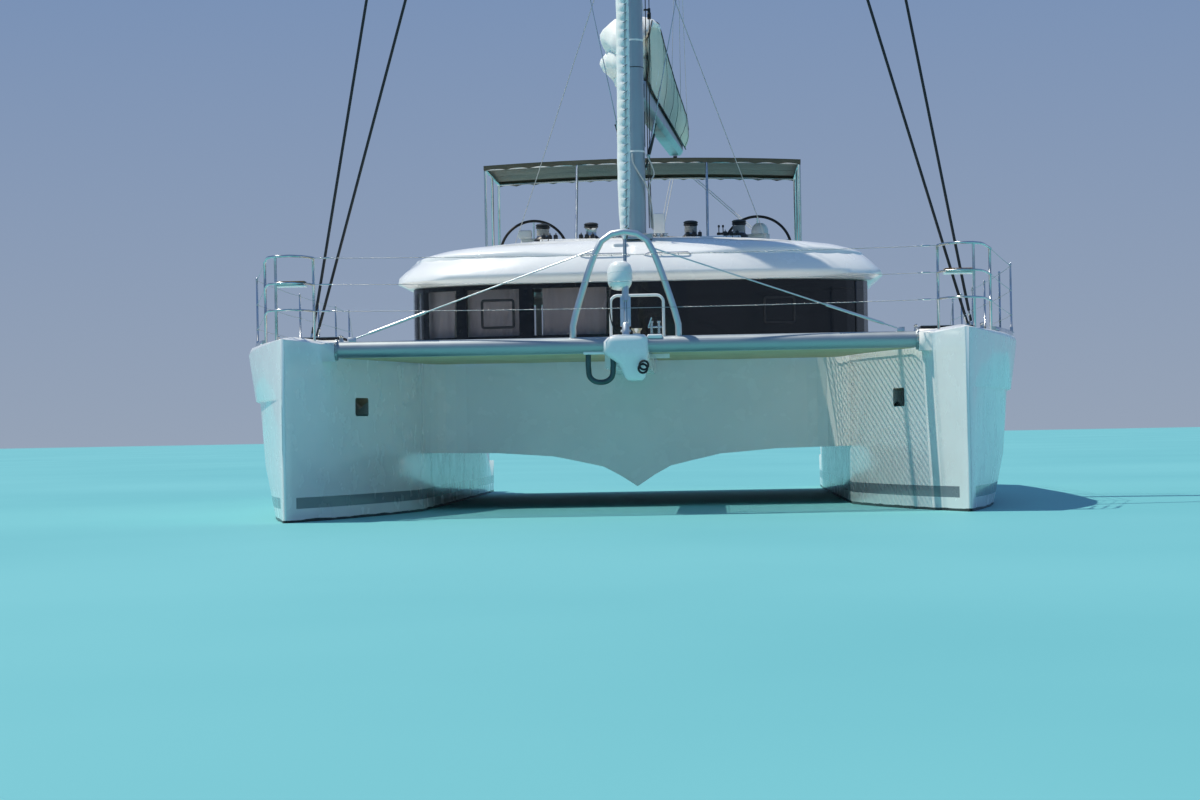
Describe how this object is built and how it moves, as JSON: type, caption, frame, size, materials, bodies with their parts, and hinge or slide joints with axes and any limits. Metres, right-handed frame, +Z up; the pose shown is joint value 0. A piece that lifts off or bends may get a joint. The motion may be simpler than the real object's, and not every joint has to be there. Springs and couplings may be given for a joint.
{
  "type": "sailing catamaran",
  "caption": "Cruising sailing catamaran afloat, with stowed mainsail, furled headsail, flybridge under a bimini and trampolines between the bows.",
  "frame": {"origin": "on the centre plane amidships, at the waterline", "axes": "+Z up, +X to port, -Y towards the bow"},
  "size_m": [9.44, 17.07, 30.2],
  "materials": {
    "gelcoat": "glossy",
    "antifouling": "matte",
    "bronze": "satin",
    "anodised_aluminium": "satin",
    "stainless": "polished",
    "smoked_acrylic": "glossy",
    "netting": "matte",
    "bimini_canvas": "matte",
    "sailcloth": "matte",
    "bag_canvas": "matte",
    "cushion": "matte",
    "wire_sleeve": "satin",
    "wood": "satin"
  },
  "bodies": {
    "root": {"bridgedeck": "gelcoat", "crossbeam": "anodised_aluminium", "beam_fitting": "gelcoat", "walkway": "gelcoat", "windlass_hoop": "stainless", "striker": "stainless", "cabin_wall": "gelcoat", "windscreen": "smoked_acrylic", "aft_bulkhead": "gelcoat", "coachroof": "gelcoat", "helm_seat": "cushion", "bimini_canopy": "bimini_canvas", "bimini_frame": "stainless", "saloon_furniture": "cushion", "galley": "gelcoat", "mast_post": "anodised_aluminium", "cockpit_settee": "cushion", "cockpit_table": "wood", "mast": "anodised_aluminium", "spreaders_lower": "anodised_aluminium", "spreaders_upper": "anodised_aluminium", "forestay": "gelcoat", "hull_port": "gelcoat", "hull_starboard": "gelcoat", "keel_port": "antifouling", "keel_starboard": "antifouling", "drive_leg_port": "antifouling", "drive_leg_starboard": "antifouling", "trampoline_port": "netting", "trampoline_starboard": "netting", "pulpit_port": "stainless", "pulpit_starboard": "stainless", "guard_rail_port": "stainless", "guard_rail_starboard": "stainless", "side_glass_port": "smoked_acrylic", "side_glass_starboard": "smoked_acrylic", "hardtop_post_port": "anodised_aluminium", "hardtop_post_starboard": "anodised_aluminium", "helm_console_port": "gelcoat", "helm_console_starboard": "gelcoat", "winches_port": "stainless", "winches_starboard": "stainless", "diamond_stay_port": "stainless", "diamond_stay_starboard": "stainless", "cap_shroud_port": "wire_sleeve", "cap_shroud_starboard": "wire_sleeve", "lower_shroud_port": "wire_sleeve", "lower_shroud_starboard": "wire_sleeve"},
    "rudder_port": {"rudder_port": "antifouling"},
    "propeller_port": {"propeller_port": "bronze"},
    "forepeak_hatch_port": {"forepeak_hatch_port": "smoked_acrylic"},
    "helm_wheel_port": {"helm_wheel_port": "stainless"},
    "rudder_starboard": {"rudder_starboard": "antifouling"},
    "propeller_starboard": {"propeller_starboard": "bronze"},
    "forepeak_hatch_starboard": {"forepeak_hatch_starboard": "smoked_acrylic"},
    "helm_wheel_starboard": {"helm_wheel_starboard": "stainless"},
    "sliding_door": {"sliding_door": "smoked_acrylic"},
    "boom": {"boom": "anodised_aluminium", "sail_bag": "bag_canvas"},
    "genoa": {"furled_genoa": "sailcloth"}
  },
  "joints": [
    {"name": "rudder_port_turn", "type": "hinge", "parent": "root", "child": "rudder_port", "pos_m": [3.49, 6.565, -0.5], "axis": [0, 0, 1], "range_deg": [-35, 35]},
    {"name": "propeller_port_spin", "type": "hinge", "parent": "root", "child": "propeller_port", "pos_m": [3.49, 4.885, -1], "axis": [0, 1, 0], "continuous": true},
    {"name": "forepeak_hatch_port_open", "type": "hinge", "parent": "root", "child": "forepeak_hatch_port", "pos_m": [3.65, -5.85, 2.0303], "axis": [1, 0, 0], "range_deg": [0, 85]},
    {"name": "helm_wheel_port_turn", "type": "hinge", "parent": "root", "child": "helm_wheel_port", "pos_m": [1.615, 3.585, 3.5], "axis": [0, 1, 0], "range_deg": [-405, 405]},
    {"name": "rudder_starboard_turn", "type": "hinge", "parent": "root", "child": "rudder_starboard", "pos_m": [-3.49, 6.565, -0.5], "axis": [0, 0, 1], "range_deg": [-35, 35]},
    {"name": "propeller_starboard_spin", "type": "hinge", "parent": "root", "child": "propeller_starboard", "pos_m": [-3.49, 4.885, -1], "axis": [0, 1, 0], "continuous": true},
    {"name": "forepeak_hatch_starboard_open", "type": "hinge", "parent": "root", "child": "forepeak_hatch_starboard", "pos_m": [-3.65, -5.85, 2.0303], "axis": [1, 0, 0], "range_deg": [0, 85]},
    {"name": "helm_wheel_starboard_turn", "type": "hinge", "parent": "root", "child": "helm_wheel_starboard", "pos_m": [-1.615, 3.585, 3.5], "axis": [0, 1, 0], "range_deg": [-405, 405]},
    {"name": "sliding_door_slide", "type": "slide", "parent": "root", "child": "sliding_door", "axis": [1, 0, 0], "range_m": [0, 0.93]},
    {"name": "boom_swing", "type": "hinge", "parent": "root", "child": "boom", "pos_m": [0, -0.905, 5.33], "axis": [0, 0, 1], "range_deg": [-57, 63]},
    {"name": "genoa_furl", "type": "hinge", "parent": "root", "child": "genoa", "pos_m": [0, -7.555, 1.975], "axis": [0, 0.2553, 0.9669], "continuous": true}
  ],
  "couplings": [
    {"joint": "rudder_starboard_turn", "follows": "rudder_port_turn", "ratio": 1},
    {"joint": "helm_wheel_port_turn", "follows": "rudder_port_turn", "ratio": 11.5},
    {"joint": "helm_wheel_starboard_turn", "follows": "rudder_port_turn", "ratio": 11.5}
  ]
}
